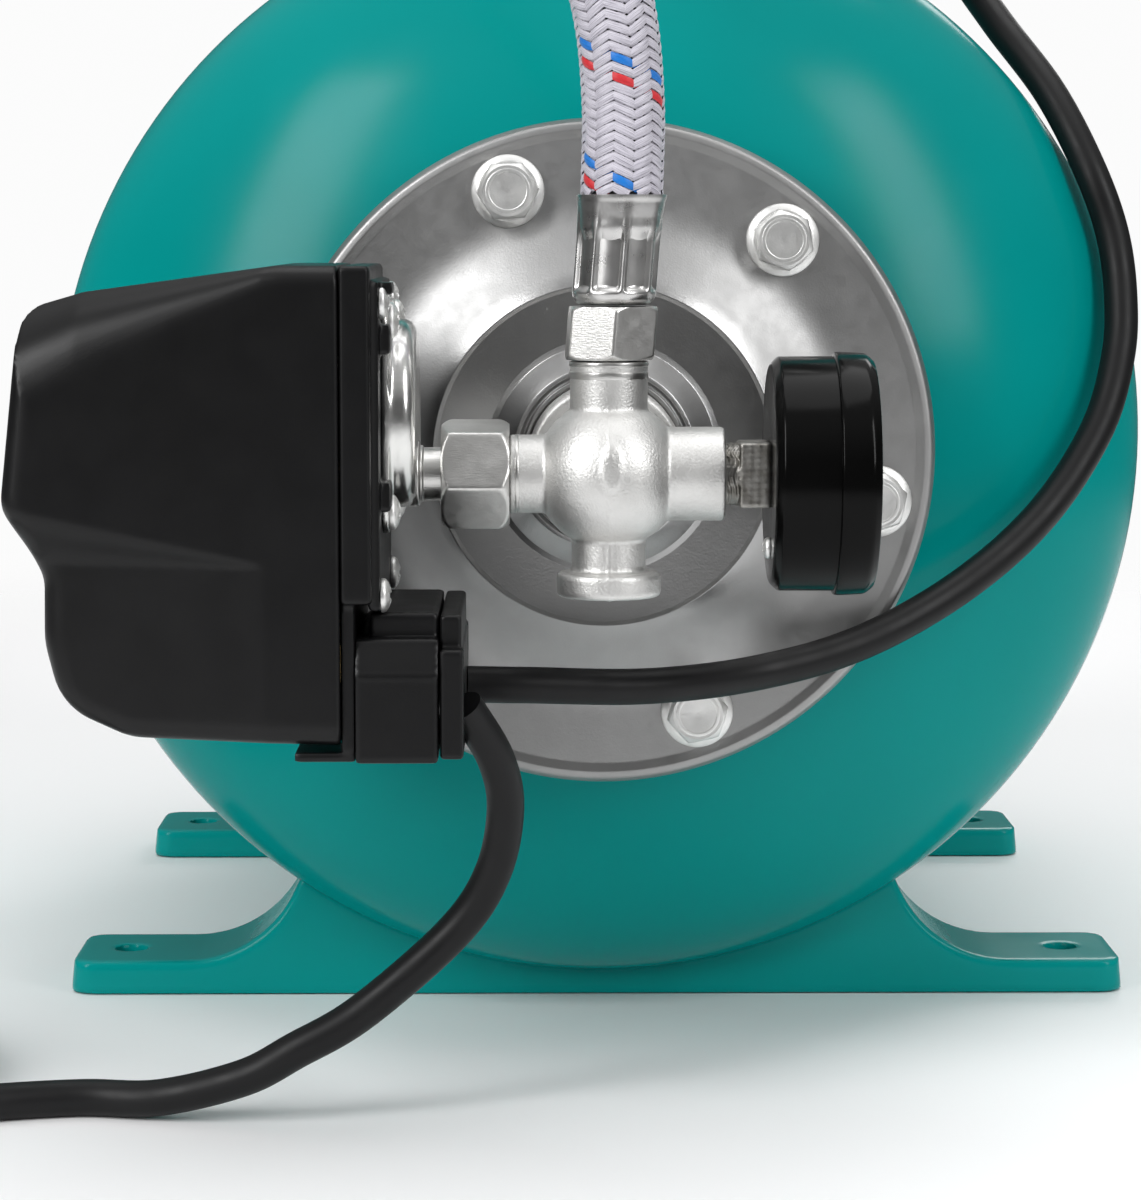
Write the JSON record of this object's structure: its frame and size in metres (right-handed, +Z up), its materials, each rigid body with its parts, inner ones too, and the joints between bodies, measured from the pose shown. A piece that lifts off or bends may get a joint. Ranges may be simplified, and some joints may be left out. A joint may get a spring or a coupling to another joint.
{
  "type": "domestic booster pump set",
  "caption": "Centrifugal jet pump and motor on a horizontal pressure tank, with flange, multi-way fitting, pressure switch, pressure gauge, braided hose and mains lead.",
  "frame": {"origin": "on the floor, at the centre of the four foot bolt holes", "axes": "+Z up; +Y from the flange end along the tank axis to the fan end; +X towards the gauge side"},
  "size_m": [0.4159, 0.484, 0.512],
  "materials": {
    "teal_paint": "glossy teal powder coat",
    "stainless": "pressed stainless sheet, lightly satin",
    "nickel_brass": "dull nickel plating",
    "zinc_steel": "bright zinc plating",
    "black_plastic": "fine matt moulded black",
    "black_gloss": "glossy black enamel",
    "black_rubber": "smooth matt rubber sheath",
    "bladder_rubber": "matt rubber",
    "brass": "machined brass",
    "copper": "bare copper",
    "motor_steel": "laminated and turned steel",
    "cast_aluminium": "painted die casting",
    "white_plastic": "plain white moulding",
    "dial_face": "white printed dial",
    "clear_lens": "clear lens",
    "hose_braid": "woven metal braid with coloured tracer threads"
  },
  "bodies": {
    "frame": {"tank_shell": "teal_paint", "front_foot": "teal_paint", "rear_foot": "teal_paint", "pump_saddle": "teal_paint", "membrane": "bladder_rubber", "tank_flange": "stainless", "flange_bolts": "zinc_steel", "air_valve": "brass", "air_valve_cap": "black_plastic", "fiveway_body": "nickel_brass", "hose_nuts": "nickel_brass", "hose_ferrules": "stainless", "braided_hose": "hose_braid", "outlet_elbow": "nickel_brass", "gauge_case": "black_gloss", "gauge_bezel": "black_gloss", "gauge_lens": "clear_lens", "gauge_dial": "dial_face", "gauge_stem": "nickel_brass", "gauge_bourdon_tube": "copper", "switch_cover": "black_plastic", "switch_base": "black_plastic", "switch_dish": "zinc_steel", "switch_nut": "nickel_brass", "switch_screws": "zinc_steel", "gland_block": "black_plastic", "gland_plate": "black_plastic", "switch_springs": "zinc_steel", "switch_terminals": "brass", "switch_diaphragm": "bladder_rubber", "mains_lead": "black_rubber", "mains_lead_coil": "black_rubber", "mains_plug": "black_rubber", "motor_lead": "black_rubber", "pump_casing": "stainless", "diffuser": "white_plastic", "venturi": "white_plastic", "mechanical_seal": "bladder_rubber", "casing_seal": "bladder_rubber", "casing_bolts": "zinc_steel", "casing_plugs": "nickel_brass", "motor_bracket": "cast_aluminium", "motor_housing": "teal_paint", "stator": "motor_steel", "motor_bearings": "motor_steel", "fan_cover": "black_gloss", "terminal_box": "black_plastic", "terminal_lid": "black_plastic", "capacitor": "white_plastic", "motor_foot": "black_plastic", "foot_screws": "zinc_steel"},
    "rotor": {"rotor_shaft": "motor_steel", "impeller": "brass", "fan": "black_plastic"},
    "pointer": {"gauge_pointer": "black_plastic"},
    "sector": {"gauge_sector": "brass"},
    "plunger": {"switch_plunger": "brass"},
    "lever": {"contact_lever": "zinc_steel"},
    "valve": {"check_valve": "brass"},
    "air_pin": {"air_valve_pin": "brass"}
  },
  "joints": [
    {"name": "rotor_spin", "type": "hinge", "parent": "frame", "child": "rotor", "pos_m": [0, 0, 0.388], "axis": [0, 1, 0], "continuous": true},
    {"name": "pointer_turn", "type": "hinge", "parent": "frame", "child": "pointer", "pos_m": [0.05, -0.25, 0.147], "axis": [-1, 0, 0], "range_deg": [0, 270]},
    {"name": "sector_turn", "type": "hinge", "parent": "frame", "child": "sector", "pos_m": [0.042, -0.25, 0.137], "axis": [1, 0, 0], "range_deg": [0, 29]},
    {"name": "plunger_slide", "type": "slide", "parent": "frame", "child": "plunger", "axis": [-1, 0, 0], "range_m": [0, 0.0015], "stiffness_N_per_m": 400},
    {"name": "lever_turn", "type": "hinge", "parent": "frame", "child": "lever", "pos_m": [-0.066, -0.25, 0.134], "axis": [0, -1, 0], "range_deg": [0, 7]},
    {"name": "check_valve_slide", "type": "slide", "parent": "frame", "child": "valve", "axis": [0, 1, 0], "range_m": [0, 0.005], "stiffness_N_per_m": 60, "springref_m": -0.003},
    {"name": "air_pin_slide", "type": "slide", "parent": "frame", "child": "air_pin", "axis": [0, -1, 0], "range_m": [0, 0.0012], "stiffness_N_per_m": 200}
  ],
  "couplings": [
    {"joint": "sector_turn", "follows": "pointer_turn", "ratio": 0.105},
    {"joint": "lever_turn", "follows": "plunger_slide", "rad_per_m": 76.9}
  ]
}
